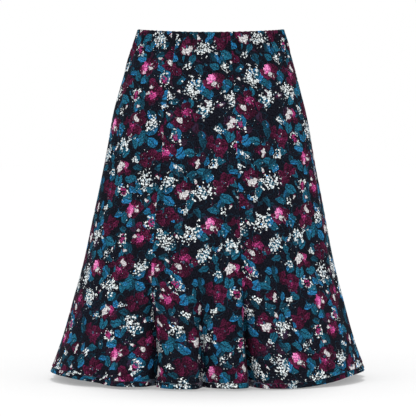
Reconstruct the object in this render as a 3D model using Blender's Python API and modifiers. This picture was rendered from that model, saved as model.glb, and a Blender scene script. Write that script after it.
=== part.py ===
"""A-line skirt of seven gores, with an elastic casing turned down at the top and a turned hem.

Metres, +Z up. The origin is the centre of the waist opening, level with the top edge at the
sides. The front of the skirt faces -Y, so the wearer's left side is at +X. A place on the
skirt is an angle round it (0 at the front, 90 at the wearer's left) and a drop below the waist.
"""

import math
from collections import namedtuple

import bmesh
import bpy

COLLECTION = "a_line_skirt"

# Thickness of the cloth where it is single, and where it is turned over.
CLOTH_WALL = 0.0012
CASING_WALL = 0.0030
HEM_WALL = 0.0022
SEAM_GAP = 0.0003

# The casing holds the elastic. Its top edge dips at the front and the back.
CASING_DEPTH = 0.032
FRONT_DIP = 0.0086
BACK_DIP = 0.006
DIP_POWER = 1.5

# Gathers: fine ones on the elastic, and every third one runs on below it as a soft fold.
GATHER_HEIGHT = 0.0008
GATHER_FADE = 0.012
TOP_SCALLOP = 0.0006
GATHERS_A_SOFT_FOLD = 3
SOFT_FOLD_HEIGHT = 0.0017
SOFT_FOLD_END = 0.130
UNEVENNESS = 0.35

# The hem is turned up and stitched, which pulls a shallow groove along the stitching.
HEM_DEPTH = 0.0095
HEM_GROOVE = 0.0005

# Colour of the cloth under its print, and its finish.
CLOTH_COLOUR = (0.014, 0.016, 0.028, 1.0)
CLOTH_ROUGHNESS = 0.82

# The skirt hangs a little towards the wearer's right: this far at the lowest section.
HEM_SWAY = -0.0055

# The skirt's plain form: half its width and half its depth at each drop.
Section = namedtuple("Section", "drop half_width half_depth")
SECTIONS = (
    Section(0.000, 0.1310, 0.0950),
    Section(0.040, 0.1421, 0.1010),
    Section(0.100, 0.1600, 0.1120),
    Section(0.150, 0.1726, 0.1225),
    Section(0.210, 0.1838, 0.1320),
    Section(0.310, 0.2033, 0.1470),
    Section(0.400, 0.2213, 0.1610),
    Section(0.460, 0.2358, 0.1730),
    Section(0.540, 0.2574, 0.1920),
    Section(0.620, 0.2856, 0.2120),
)

# How far the hem's edge hangs below the origin, at each angle round the skirt.
HemLevel = namedtuple("HemLevel", "degrees drop")
HEM_LEVELS = (
    HemLevel(-180, 0.6200),
    HemLevel(-135, 0.6180),
    HemLevel(-90, 0.6135),
    HemLevel(-66, 0.6140),
    HemLevel(-52, 0.6180),
    HemLevel(-42, 0.6225),
    HemLevel(-30, 0.6228),
    HemLevel(-10, 0.6245),
    HemLevel(2, 0.6230),
    HemLevel(28, 0.6258),
    HemLevel(40, 0.6235),
    HemLevel(62, 0.6130),
    HemLevel(90, 0.6110),
    HemLevel(135, 0.6170),
)

# Seams in order round the skirt. Each lies in a valley that opens towards the hem.
Seam = namedtuple("Seam", "name hip_degrees hem_degrees valley_start valley_depth half_width")
SEAMS = (
    Seam("front_left", 14.9, 16.3, 0.400, 0.017, 0.015),
    Seam("side_left", 90, 90, 0.460, 0.003, 0.022),
    Seam("back_left", 131, 129, 0.420, 0.013, 0.017),
    Seam("centre_back", 175, 175, 0.400, 0.015, 0.016),
    Seam("back_right", 218, 220, 0.430, 0.014, 0.017),
    Seam("side_right", 266, 266, 0.460, 0.003, 0.022),
    Seam("front_right", 333, 339.5, 0.400, 0.015, 0.015),
)
SEAM_BEND_START = 0.400

# One gore from each seam to the next one, and how many fine gathers it has.
Gore = namedtuple("Gore", "name gathers")
GORES = (
    Gore("gore_side_front_left", 15),
    Gore("gore_side_back_left", 6),
    Gore("gore_centre_back_left", 9),
    Gore("gore_centre_back_right", 9),
    Gore("gore_side_back_right", 9),
    Gore("gore_side_front_right", 12),
    Gore("gore_centre_front", 9),
)

# Large folds inside the gores. A positive height stands out and a negative one is a valley.
Fold = namedtuple("Fold", "gore across start height half_width")
FOLDS = (
    Fold("gore_centre_front", 0.24, 0.420, 0.007, 0.024),
    Fold("gore_centre_front", 0.515, 0.430, -0.013, 0.012),
    Fold("gore_centre_front", 0.78, 0.430, 0.008, 0.022),
    Fold("gore_side_front_left", 0.15, 0.430, 0.006, 0.032),
    Fold("gore_side_front_left", 0.44, 0.410, 0.006, 0.052),
    Fold("gore_side_front_left", 0.80, 0.430, 0.003, 0.060),
    Fold("gore_side_back_left", 0.28, 0.430, 0.006, 0.026),
    Fold("gore_side_back_left", 0.74, 0.420, 0.007, 0.028),
    Fold("gore_centre_back_left", 0.25, 0.430, 0.007, 0.028),
    Fold("gore_centre_back_left", 0.50, 0.470, -0.007, 0.018),
    Fold("gore_centre_back_left", 0.76, 0.420, 0.008, 0.026),
    Fold("gore_centre_back_right", 0.30, 0.410, 0.009, 0.030),
    Fold("gore_centre_back_right", 0.72, 0.440, 0.006, 0.034),
    Fold("gore_side_back_right", 0.24, 0.420, 0.007, 0.028),
    Fold("gore_side_back_right", 0.50, 0.450, -0.006, 0.020),
    Fold("gore_side_back_right", 0.77, 0.430, 0.006, 0.030),
    Fold("gore_side_front_right", 0.20, 0.430, 0.003, 0.060),
    Fold("gore_side_front_right", 0.52, 0.430, 0.005, 0.044),
    Fold("gore_side_front_right", 0.70, 0.450, -0.003, 0.024),
    Fold("gore_side_front_right", 0.86, 0.420, 0.007, 0.030),
)

# Rows of the cloth, from the top edge down: a share of the way to the hem, and a step from it.
Row = namedtuple("Row", "share step")
CASING_ROWS = (
    Row(0, 0.000),
    Row(0, 0.010),
    Row(0, 0.021),
    Row(0, CASING_DEPTH - 0.001),
    Row(0, CASING_DEPTH + 0.001),
    Row(0, CASING_DEPTH + GATHER_FADE),
)
BODY_ROWS = tuple(Row(share, 0) for share in (0.14, 0.24, 0.34, 0.44, 0.54, 0.64, 0.73, 0.82, 0.90))
HEM_ROWS = (
    Row(1, -HEM_DEPTH - 0.002),
    Row(1, -HEM_DEPTH),
    Row(1, 0),
)
ROWS = CASING_ROWS + BODY_ROWS + HEM_ROWS
COLUMNS_A_GATHER = 2


def ease(value):
    """0 below 0, 1 above 1, and a smooth rise between them."""
    value = min(max(value, 0.0), 1.0)
    return value * value * (3 - 2 * value)


def through(rows, at):
    """The value at a place on the smooth curve through rows of (place, value)."""
    last = len(rows) - 1
    i = 0
    while i < last - 1 and rows[i + 1][0] < at:
        i += 1
    span = rows[i + 1][0] - rows[i][0]
    part = (at - rows[i][0]) / span
    slopes = []
    for j in (i, i + 1):
        before, after = rows[max(j - 1, 0)], rows[min(j + 1, last)]
        slopes.append((after[1] - before[1]) / (after[0] - before[0]) * span)
    near, far = rows[i][1], rows[i + 1][1]
    bend = (2 * near - 2 * far + slopes[0] + slopes[1]) * part**3
    lift = (3 * far - 3 * near - 2 * slopes[0] - slopes[1]) * part**2
    return bend + lift + slopes[0] * part + near


def hem_drop(angle):
    """Drop of the hem's edge at an angle, from the levels laid end to end round the skirt."""
    turns = (-360, 0, 360)
    rows = [(level.degrees + turn, level.drop) for turn in turns for level in HEM_LEVELS]
    return through(rows, (math.degrees(angle) + 180) % 360 - 180)


def top_drop(angle, gather):
    """Drop of the top edge at an angle, with the small scallops that the gathers make in it."""
    front = FRONT_DIP * max(math.cos(angle), 0) ** DIP_POWER
    back = BACK_DIP * max(-math.cos(angle), 0) ** DIP_POWER
    return front + back - TOP_SCALLOP * gather


def form(drop):
    """Half width and half depth of the skirt's plain form."""
    half_width = through([(row.drop, row.half_width) for row in SECTIONS], drop)
    half_depth = through([(row.drop, row.half_depth) for row in SECTIONS], drop)
    return half_width, half_depth


def seam_angle(number, drop):
    """Angle of a seam in radians. It bends a little once the skirt flares."""
    turns, place = divmod(number, len(SEAMS))
    seam = SEAMS[place]
    bend = ease((drop - SEAM_BEND_START) / (SECTIONS[-1].drop - SEAM_BEND_START))
    degrees = seam.hip_degrees + (seam.hem_degrees - seam.hip_degrees) * bend
    return math.radians(degrees + 360 * turns)


def arc_rate(angle, drop):
    """Metres of cloth for each radian of angle."""
    half_width, half_depth = form(drop)
    return math.hypot(half_width * math.cos(angle), half_depth * math.sin(angle))


def gather_wave(number, across):
    """Uneven wave of the fine gathers, from -1 in a dip to 1 on a crest, with a dip at each seam."""
    size = 1 - UNEVENNESS + UNEVENNESS * math.sin(5.3 * across * math.pi + 1.9 * number)
    return -size * math.cos(2 * math.pi * GORES[number].gathers * across)


def soft_fold_wave(number, across):
    """Uneven wave of the soft folds that run on below the elastic."""
    size = 1 - UNEVENNESS + UNEVENNESS * math.cos(4.1 * across * math.pi + 2.3 * number)
    folds = GORES[number].gathers / GATHERS_A_SOFT_FOLD
    return -size * math.cos(2 * math.pi * folds * across)


def valley(distance, half_width):
    """Profile of a fold: 1 on its line, falling to 0 on both sides."""
    return math.exp(-((distance / half_width) ** 2))


def crease(distance, half_width):
    """Profile of a seam's valley: sharper at its line than a fold."""
    return 1 / (1 + (distance / half_width) ** 2) ** 1.5


def deepening(drop, start, hem):
    """How much of a fold has opened at a drop: nothing at its start and all at the hem."""
    return ease((drop - start) / (hem - start)) if drop > start else 0.0


def relief(number, across, drop, angle, hem):
    """How far the cloth stands out from the plain form."""
    rate = arc_rate(angle, drop)
    top = 1 - ease((drop - CASING_DEPTH) / GATHER_FADE)
    out = GATHER_HEIGHT * top * gather_wave(number, across)
    soft = ease(drop / CASING_DEPTH) * (1 - ease((drop - CASING_DEPTH) / (SOFT_FOLD_END - CASING_DEPTH)))
    out += SOFT_FOLD_HEIGHT * soft * soft_fold_wave(number, across)
    for step in (0, 1):
        seam = SEAMS[(number + step) % len(SEAMS)]
        away = (angle - seam_angle(number + step, drop)) * rate
        out -= seam.valley_depth * deepening(drop, seam.valley_start, hem) * crease(away, seam.half_width)
    left, right = seam_angle(number, drop), seam_angle(number + 1, drop)
    for fold in FOLDS:
        if fold.gore == GORES[number].name:
            away = (across - fold.across) * (right - left) * rate
            ends = ease(across / 0.12) * ease((1 - across) / 0.12)
            size = fold.height * deepening(drop, fold.start, hem) * ends
            out += size * valley(away, fold.half_width)
    out -= HEM_GROOVE * valley(hem - HEM_DEPTH - drop, 0.002)
    return out


def place(number, across, row):
    """Point of the outer surface: across a gore from 0 to 1, on one of the rows."""
    middle = seam_angle(number, 0) * (1 - across) + seam_angle(number + 1, 0) * across
    top = top_drop(middle, gather_wave(number, across))
    hem = hem_drop(middle)
    drop = top + row.share * (hem - top) + row.step
    left, right = seam_angle(number, drop), seam_angle(number + 1, drop)
    left += SEAM_GAP / 2 / arc_rate(left, drop)
    right -= SEAM_GAP / 2 / arc_rate(right, drop)
    angle = left * (1 - across) + right * across
    half_width, half_depth = form(drop)
    ahead, aside = math.cos(angle) / half_depth, math.sin(angle) / half_width
    out = relief(number, across, drop, angle, hem) / math.hypot(ahead, aside)
    x = half_width * math.sin(angle) + out * aside + HEM_SWAY * drop / SECTIONS[-1].drop
    y = -half_depth * math.cos(angle) - out * ahead
    return x, y, -drop


def wall_at(row):
    """Thickness of the cloth on a row: more in the casing and in the turned hem."""
    if row.share == 0 and row.step < CASING_DEPTH:
        return CASING_WALL
    if row.share == 1 and row.step >= -HEM_DEPTH:
        return HEM_WALL
    return CLOTH_WALL


def gather_columns(mesh):
    """Halves the columns of the casing's rows, which carry the fine gathers."""
    last = len(ROWS) - 1
    lowest = 0.5 - (len(CASING_ROWS) - 0.5) / last
    level = [
        edge
        for edge in mesh.edges
        if all(vertex.co.y > lowest for vertex in edge.verts)
        and abs(edge.verts[0].co.y - edge.verts[1].co.y) < 0.1 / last
    ]
    bmesh.ops.subdivide_edges(mesh, edges=level, cuts=1, use_grid_fill=True)


def make_cloth(name):
    """Crepe for one gore."""
    material = bpy.data.materials.new(name)
    material.use_nodes = True
    shader = material.node_tree.nodes["Principled BSDF"]
    shader.inputs["Base Color"].default_value = CLOTH_COLOUR
    shader.inputs["Roughness"].default_value = CLOTH_ROUGHNESS
    shader.inputs["Metallic"].default_value = 0.0
    material.diffuse_color = CLOTH_COLOUR
    return material


def make_gore(number, collection):
    """One gore: a flat grid bent to its place, given its wall by Solidify."""
    name = GORES[number].name
    columns = GORES[number].gathers * COLUMNS_A_GATHER
    mesh = bmesh.new()
    bmesh.ops.create_grid(mesh, x_segments=columns, y_segments=len(ROWS) - 1, size=0.5)
    gather_columns(mesh)
    mesh.verts.index_update()
    rows = {}
    for vertex in mesh.verts:
        across = vertex.co.x + 0.5
        row = ROWS[round((0.5 - vertex.co.y) * (len(ROWS) - 1))]
        vertex.co = place(number, across, row)
        rows.setdefault(wall_at(row), []).append(vertex.index)
    data = bpy.data.meshes.new(name)
    mesh.to_mesh(data)
    mesh.free()
    data.shade_smooth()
    data.materials.append(make_cloth("crepe_" + name))
    gore = bpy.data.objects.new(name, data)
    collection.objects.link(gore)
    wall = gore.vertex_groups.new(name="wall")
    for thickness, vertices in rows.items():
        wall.add(vertices, thickness / CASING_WALL, "REPLACE")
    solidify = gore.modifiers.new("wall", "SOLIDIFY")
    solidify.thickness = CASING_WALL
    solidify.offset = -1
    solidify.vertex_group = "wall"
    return gore


def main():
    for leftover in list(bpy.data.objects):
        bpy.data.objects.remove(leftover, do_unlink=True)
    collection = bpy.data.collections.new(COLLECTION)
    bpy.context.scene.collection.children.link(collection)
    for number in range(len(GORES)):
        make_gore(number, collection)


main()
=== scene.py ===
"""Looks of a seven-gore A-line skirt: floral crepe, pressed seams, stitching and a plain studio.

Metres, +Z up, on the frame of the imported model. The origin is the centre of the waist opening and
the front of the skirt faces -Y. A place on the skirt is an angle round it (0 at the front, 90 at
the wearer's left) and a drop below the waist. Inside a gore it is a share across, from the seam on
the wearer's right (0) to the one on the left (1), and a drop.
"""

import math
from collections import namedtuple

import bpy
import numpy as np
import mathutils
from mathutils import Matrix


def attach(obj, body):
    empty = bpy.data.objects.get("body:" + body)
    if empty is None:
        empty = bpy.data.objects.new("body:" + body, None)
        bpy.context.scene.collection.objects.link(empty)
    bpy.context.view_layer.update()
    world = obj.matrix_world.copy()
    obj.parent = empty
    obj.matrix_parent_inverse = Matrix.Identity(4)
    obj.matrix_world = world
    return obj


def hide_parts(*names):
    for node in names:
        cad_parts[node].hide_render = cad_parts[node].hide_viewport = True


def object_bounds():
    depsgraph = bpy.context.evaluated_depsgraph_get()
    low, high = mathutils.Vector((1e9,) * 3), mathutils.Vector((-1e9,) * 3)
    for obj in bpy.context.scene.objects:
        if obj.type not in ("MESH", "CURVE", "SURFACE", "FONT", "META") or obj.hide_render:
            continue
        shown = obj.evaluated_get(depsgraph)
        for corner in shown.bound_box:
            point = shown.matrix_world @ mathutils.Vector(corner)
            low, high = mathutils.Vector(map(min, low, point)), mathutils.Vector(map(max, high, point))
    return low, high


bl_info = {
    "name": "A-line Skirt Looks",
    "version": (1, 0, 0),
    "blender": (4, 5, 0),
    "location": "3D View > Sidebar > Skirt",
    "description": "Cuts, folds, prints and stitches the crepe of a seven-gore skirt",
    "category": "Object",
}

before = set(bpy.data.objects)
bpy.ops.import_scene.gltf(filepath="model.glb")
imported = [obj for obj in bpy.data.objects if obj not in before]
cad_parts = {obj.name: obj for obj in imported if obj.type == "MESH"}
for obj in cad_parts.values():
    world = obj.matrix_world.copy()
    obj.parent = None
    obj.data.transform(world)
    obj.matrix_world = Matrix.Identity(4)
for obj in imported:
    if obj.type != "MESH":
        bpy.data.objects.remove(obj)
CAD_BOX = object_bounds()

BODY = "root"
PRINT_MAP = "print"
MM = 0.001


def table(kind, *rows):
    """Rows of one named kind."""
    return tuple(kind(*row) for row in rows)


# ---------------------------------------------------------------- the skirt's form

# The casing for the elastic: how deep its stitching and its turned edge lie, and how far the waist
# edge dips at the front and back.
CASING_DEPTH = 0.032
CASING_EDGE = 0.0355
FRONT_DIP = 0.0086
BACK_DIP = 0.006
DIP_POWER = 1.5

# Gathers on the casing, some of which run on below it as soft folds.
GATHER_HEIGHT = 0.0008
GATHER_FADE = 0.012
TOP_SCALLOP = 0.0004
GATHERS_A_SOFT_FOLD = 3
SOFT_FOLD_HEIGHT = 0.0017
SOFT_FOLD_END = 0.130
UNEVENNESS = 0.35

# The hem: how high over its edge the stitching and the turned edge lie, and its sway to one side.
HEM_DEPTH = 0.0095
HEM_EDGE = 0.0118
HEM_GROOVE = 0.0005
HEM_GROOVE_WIDTH = 0.002
HEM_SWAY = -0.0055

# Radius of the cloth's turn at the top of the casing and at the hem.
TOP_TURN = 0.0015
HEM_TURN = 0.0011

# The plain form, without folds, at some drops below the waist.
Section = namedtuple("Section", "drop half_width half_depth")
SECTIONS = table(
    Section,
    (0.000, 0.1310, 0.0950), (0.040, 0.1421, 0.1010), (0.100, 0.1600, 0.1120),
    (0.150, 0.1726, 0.1225), (0.210, 0.1838, 0.1320), (0.310, 0.2033, 0.1470),
    (0.400, 0.2213, 0.1610), (0.460, 0.2358, 0.1730), (0.540, 0.2574, 0.1920),
    (0.620, 0.2856, 0.2120),
)

# The hem's drop at degrees round the skirt.
HEM_LEVELS = (
    (-180, 0.6200), (-135, 0.6180), (-90, 0.6135), (-66, 0.6140), (-52, 0.6180), (-42, 0.6225),
    (-30, 0.6228), (-10, 0.6245), (2, 0.6230), (28, 0.6258), (40, 0.6235), (62, 0.6130),
    (90, 0.6110), (135, 0.6170),
)

# Each seam's place round the skirt at the hips and at the hem, and the valley that opens along it:
# the drop at which it starts, its depth at the hem and its half width.
Seam = namedtuple("Seam", "name hip_degrees hem_degrees valley_start valley_depth half_width")
SEAMS = table(
    Seam,
    ("front_left", 14.9, 16.3, 0.400, 0.017, 0.015),
    ("side_left", 90, 90, 0.460, 0.003, 0.022),
    ("back_left", 131, 129, 0.420, 0.013, 0.017),
    ("centre_back", 175, 175, 0.400, 0.015, 0.016),
    ("back_right", 218, 220, 0.430, 0.014, 0.017),
    ("side_right", 266, 266, 0.460, 0.003, 0.022),
    ("front_right", 333, 339.5, 0.400, 0.015, 0.015),
)
SEAM_BEND_START = 0.400

# A sharper line lies in the floor of each valley, and folds fade out near the seams.
SHARP_VALLEY_SHARE = 0.70
SHARP_VALLEY_WIDTH = 0.0050
FOLD_SEAM_SHARE = 0.12

# One gore from each seam to the next one: how many gathers it has, how its print is turned on the
# cloth in degrees and moved along it, and its flat cut with all allowances: widest, length and area.
Gore = namedtuple("Gore", "name gathers print_turn print_across print_down width length area")
GORES = table(
    Gore,
    ("gore_side_front_left", 15, -6.0, 0.031, 0.012, 0.362, 0.690, 0.173),
    ("gore_side_back_left", 6, 5.0, 0.118, 0.064, 0.190, 0.687, 0.090),
    ("gore_centre_back_left", 9, -3.0, 0.055, 0.143, 0.271, 0.686, 0.118),
    ("gore_centre_back_right", 9, 4.0, 0.092, 0.027, 0.264, 0.685, 0.119),
    ("gore_side_back_right", 9, -5.0, 0.012, 0.090, 0.226, 0.693, 0.108),
    ("gore_side_front_right", 12, 7.0, 0.074, 0.171, 0.356, 0.693, 0.155),
    ("gore_centre_front", 9, 1.0, 0.000, 0.000, 0.290, 0.684, 0.123),
)

# Large folds of each gore: the share across, then in millimetres the drop at which it starts, how
# far it stands out at the hem, or lies back where that is negative, and its half width.
Fold = namedtuple("Fold", "across start height half_width")
FOLDS = {
    "gore_centre_front": table(
        Fold,
        (0.24, 420, 7, 24), (0.515, 430, -13, 12), (0.78, 430, 8, 22),
    ),
    "gore_side_front_left": table(
        Fold,
        (0.15, 430, 6, 32), (0.44, 410, 6, 52), (0.80, 430, 3, 60),
    ),
    "gore_side_back_left": table(
        Fold,
        (0.28, 430, 6, 26), (0.74, 420, 7, 28),
    ),
    "gore_centre_back_left": table(
        Fold,
        (0.25, 430, 7, 28), (0.50, 470, -7, 18), (0.76, 420, 8, 26),
    ),
    "gore_centre_back_right": table(
        Fold,
        (0.30, 410, 9, 30), (0.72, 440, 6, 34),
    ),
    "gore_side_back_right": table(
        Fold,
        (0.24, 420, 7, 28), (0.50, 450, -6, 20), (0.77, 430, 6, 30),
    ),
    "gore_side_front_right": table(
        Fold,
        (0.20, 430, 3, 60), (0.52, 430, 5, 44), (0.70, 450, -3, 24), (0.86, 420, 7, 30),
    ),
}

# ---------------------------------------------------------------- finer form of the cloth

# Fine gathers between the large ones, and the puckers that run down from the casing's stitching.
FINE_GATHERS_A_GATHER = 2.3
FINE_GATHER_HEIGHT = 0.0005
CASING_FADE = 0.006
CASING_GROOVE = 0.0009
CASING_GROOVE_WIDTH = 0.0017
PUCKERS_A_GATHER = 1.45
PUCKER_HEIGHT = 0.0009
PUCKER_REACH = 0.011
PUCKER_TOP = 0.010

# A seam is a narrow groove, with the cloth drawn a little uneven along it.
SEAM_GROOVE = 0.0010
SEAM_GROOVE_WIDTH = 0.0016
SEAM_RIPPLE = 0.00030
SEAM_RIPPLE_LENGTH = 0.017
SEAM_RIPPLE_REACH = 0.007
SEAM_STILL_WIDTH = 0.001

# A small tuck lies over the hem's stitching, deeper in some places, and takes up a little cloth, so
# that the print jumps there.
TUCK_OVERHANG = 0.0013
TUCK_OVERHANG_WIDTH = 0.0024
TUCK_DEPTH = 0.0021
TUCK_DEPTH_WIDTH = 0.0030
TUCK_LINE_WIDTH = 0.0006
TUCK_DEGREES = 6
TUCK_LEAST_SHARE = 0.3
TUCK_PRINT_DOWN = 0.013
TUCK_PRINT_ACROSS = 0.010

# The hem's stitching draws the cloth in slanting ripples.
HEM_RIPPLE = 0.00045
HEM_RIPPLE_LENGTH = 0.013
HEM_RIPPLE_SLANT = 0.7
HEM_RIPPLE_REACH = 0.009
HEM_RIPPLE_PATCHES = 9

# Slow waves of the cloth below the elastic: how long each is round and down the skirt, its start
# in radians and its height. A whole number of them goes round.
SLOW_WAVES_FROM = 0.05
SLOW_WAVES_RISE = 0.08
MEAN_RADIUS = 0.19
Wave = namedtuple("Wave", "round_length down_length start height")
SLOW_WAVES = table(
    Wave,
    (0.071, 0.410, 0.6, 0.00055), (0.113, -0.290, 2.1, 0.00060), (0.047, 0.620, 4.4, 0.00030),
    (0.196, 0.175, 5.0, 0.00050),
)

# Creases laid in each gore, from one place to another, with their height and half width, all
# but the share across in millimetres. They fade to their ends, a little past these places, and close
# to a seam.
CREASE_RUN_ON = 0.07
CREASE_SEAM_FADE = 0.004
Crease = namedtuple("Crease", "across drop to_across to_drop height half_width")
CREASES = {
    "gore_centre_front": table(
        Crease,
        (0.14, 34, 0.17, 78, 1.6, 5), (0.46, 32, 0.50, 60, -1.4, 4),
        (0.57, 110, 0.42, 250, 1.6, 11), (0.90, 34, 0.83, 80, 1.5, 5),
        (0.30, 300, 0.25, 460, -1.6, 10), (0.72, 330, 0.78, 500, 1.8, 11), (0, 340, 0, 790, -8, 6),
        (0.055, 350, 0.060, 790, -5, 8), (1, 340, 1, 790, -10, 6), (0.515, 370, 0.513, 790, -10, 6),
        (0.570, 400, 0.590, 790, -8, 9), (0.455, 420, 0.450, 790, 4.5, 7),
    ),
    "gore_side_front_left": table(
        Crease,
        (0.08, 33, 0.065, 84, 1.5, 5), (0, 340, 0, 790, -10, 6), (0.055, 350, 0.060, 790, 3, 9),
        (0.29, 33, 0.26, 70, -1.2, 4.5), (0.62, 33, 0.65, 78, 1.4, 5), (0.80, 33, 0.83, 80, 1.5, 5),
        (0.36, 140, 0.31, 330, 1.7, 13), (0.72, 160, 0.78, 350, 1.8, 14),
        (0.20, 350, 0.16, 540, 1.8, 12), (0.55, 300, 0.57, 560, -2, 12),
        (0.84, 320, 0.80, 540, -1.6, 13),
    ),
    "gore_side_front_right": table(
        Crease,
        (1, 340, 1, 790, -8, 6), (0.960, 350, 0.955, 790, 3.5, 6.5), (0.12, 33, 0.15, 80, 1.5, 5),
        (0.26, 33, 0.24, 66, -1.2, 4.5), (0.44, 33, 0.47, 72, 1.4, 5),
        (0.83, 33, 0.82, 90, 1.5, 5.5), (0.24, 150, 0.20, 340, 1.8, 14),
        (0.63, 150, 0.66, 360, -1.6, 13), (0.79, 330, 0.82, 530, 1.8, 12),
        (0.45, 340, 0.41, 560, 1.6, 14), (0.17, 330, 0.22, 540, -1.6, 12),
    ),
    "gore_side_back_left": table(
        Crease,
        (0.26, 33, 0.22, 70, -1.3, 4.5), (0.70, 33, 0.74, 82, 1.4, 5),
        (0.40, 160, 0.46, 350, 1.7, 12), (0.62, 320, 0.55, 540, -1.6, 11),
    ),
    "gore_centre_back_left": table(
        Crease,
        (0.30, 33, 0.27, 85, 1.5, 5), (0.64, 120, 0.58, 300, 1.7, 12),
        (0.36, 330, 0.40, 520, -1.8, 11),
    ),
    "gore_centre_back_right": table(
        Crease,
        (0.22, 33, 0.25, 74, -1.3, 4.5), (0.74, 33, 0.72, 90, 1.5, 5),
        (0.44, 130, 0.50, 340, -1.6, 13), (0.60, 350, 0.52, 550, 1.8, 12),
    ),
    "gore_side_back_right": table(
        Crease,
        (0.34, 33, 0.30, 78, 1.5, 5), (0.76, 33, 0.79, 70, -1.2, 4.5),
        (0.58, 150, 0.52, 340, 1.8, 13), (0.34, 330, 0.30, 540, -1.8, 11),
    ),
}

# Columns and rows of a gore's sheet. The columns stand closer at the seams. Edges that turn by more
# than the last number of degrees stay sharp.
COLUMNS_A_GATHER = 11
COLUMN_CROWDING = 0.11
CASING_INSIDE_ROWS = 16
TOP_TURN_ROWS = 6
CASING_ROWS_TO = 0.046
CASING_ROWS = 32
BODY_ROWS = 156
HEM_ROWS_FROM = 0.0125
HEM_ROWS = 24
HEM_TURN_ROWS = 5
HEM_INSIDE_ROWS = 7
SMOOTH_DEGREES = 55

# Stitches hold two layers this many thicknesses of cloth apart, and draw them in beside the row.
STITCH_PINCH = 2.4
STITCH_PINCH_WIDTH = 0.0035

# Seam allowances, pressed open against the inside.
ALLOWANCE = 0.0100
ALLOWANCE_INSET = 0.0016
ALLOWANCE_COLUMNS = 6
ALLOWANCE_ROWS = 150
ALLOWANCE_TOP = 0.0375
ALLOWANCE_END = 0.0135
ALLOWANCE_GROOVE_WIDTH = 0.003


def ease(value):
    """0 below 0, 1 above 1, and a smooth rise between them."""
    value = np.clip(value, 0.0, 1.0)
    return value * value * (3 - 2 * value)


def through(rows, at):
    """The value at each place on the smooth curve through rows of (place, value)."""
    places, values = np.array(rows, float).T
    between = np.diff(values) / np.diff(places)
    inner = (values[2:] - values[:-2]) / (places[2:] - places[:-2])
    slopes = np.concatenate([between[:1], inner, between[-1:]])
    i = np.clip(np.searchsorted(places, at, side="left") - 1, 0, len(rows) - 2)
    span = places[i + 1] - places[i]
    part = (at - places[i]) / span
    near, far = values[i], values[i + 1]
    leave, arrive = slopes[i] * span, slopes[i + 1] * span
    bend = (2 * near - 2 * far + leave + arrive) * part**3
    lift = (3 * far - 3 * near - 2 * leave - arrive) * part**2
    return bend + lift + leave * part + near


def hem_drop(angle):
    """Drop of the hem's edge at each angle."""
    rows = [(degrees + turn, drop) for turn in (-360, 0, 360) for degrees, drop in HEM_LEVELS]
    return through(rows, (np.degrees(angle) + 180) % 360 - 180)


def top_drop(angle, gather):
    """Drop of the top edge at each angle, with the small scallops of the gathers."""
    front = FRONT_DIP * np.maximum(np.cos(angle), 0) ** DIP_POWER
    back = BACK_DIP * np.maximum(-np.cos(angle), 0) ** DIP_POWER
    return front + back - TOP_SCALLOP * gather


def form(drop):
    """Half width and half depth of the skirt's plain form."""
    half_width = through([(row.drop, row.half_width) for row in SECTIONS], drop)
    half_depth = through([(row.drop, row.half_depth) for row in SECTIONS], drop)
    return half_width, half_depth


def seam_angle(number, drop):
    """Angle of a seam in radians."""
    turns, place = divmod(number, len(SEAMS))
    seam = SEAMS[place]
    bend = ease((drop - SEAM_BEND_START) / (SECTIONS[-1].drop - SEAM_BEND_START))
    degrees = seam.hip_degrees + (seam.hem_degrees - seam.hip_degrees) * bend
    return np.radians(degrees + 360 * turns)


def arc_rate(angle, drop):
    """Metres of cloth for each radian of angle."""
    half_width, half_depth = form(drop)
    return np.hypot(half_width * np.cos(angle), half_depth * np.sin(angle))


# The bare rates and starts in the waves from here on only keep gathers, ripples and gores from
# looking alike.


def gather_wave(number, across):
    """Uneven wave of the gathers, from -1 in a dip to 1 on a crest, with a dip at each seam."""
    size = 1 - UNEVENNESS + UNEVENNESS * np.sin(5.3 * across * np.pi + 1.9 * number)
    return -size * np.cos(2 * np.pi * GORES[number].gathers * across)


def soft_fold_wave(number, across):
    """Uneven wave of the soft folds that run on below the elastic."""
    size = 1 - UNEVENNESS + UNEVENNESS * np.cos(4.1 * across * np.pi + 2.3 * number)
    folds = GORES[number].gathers / GATHERS_A_SOFT_FOLD
    return -size * np.cos(2 * np.pi * folds * across)


def valley(distance, half_width):
    """Profile of a fold: 1 on its line, falling to 0 on both sides."""
    return np.exp(-((distance / half_width) ** 2))


def crease(distance, half_width):
    """Profile of a seam's valley: sharper at its line than a fold."""
    return 1 / (1 + (distance / half_width) ** 2) ** 1.5


def deepening(drop, start, hem):
    """How much of a fold has opened at a drop: nothing at its start and all at the hem."""
    return ease((drop - start) / (hem - start))


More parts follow.
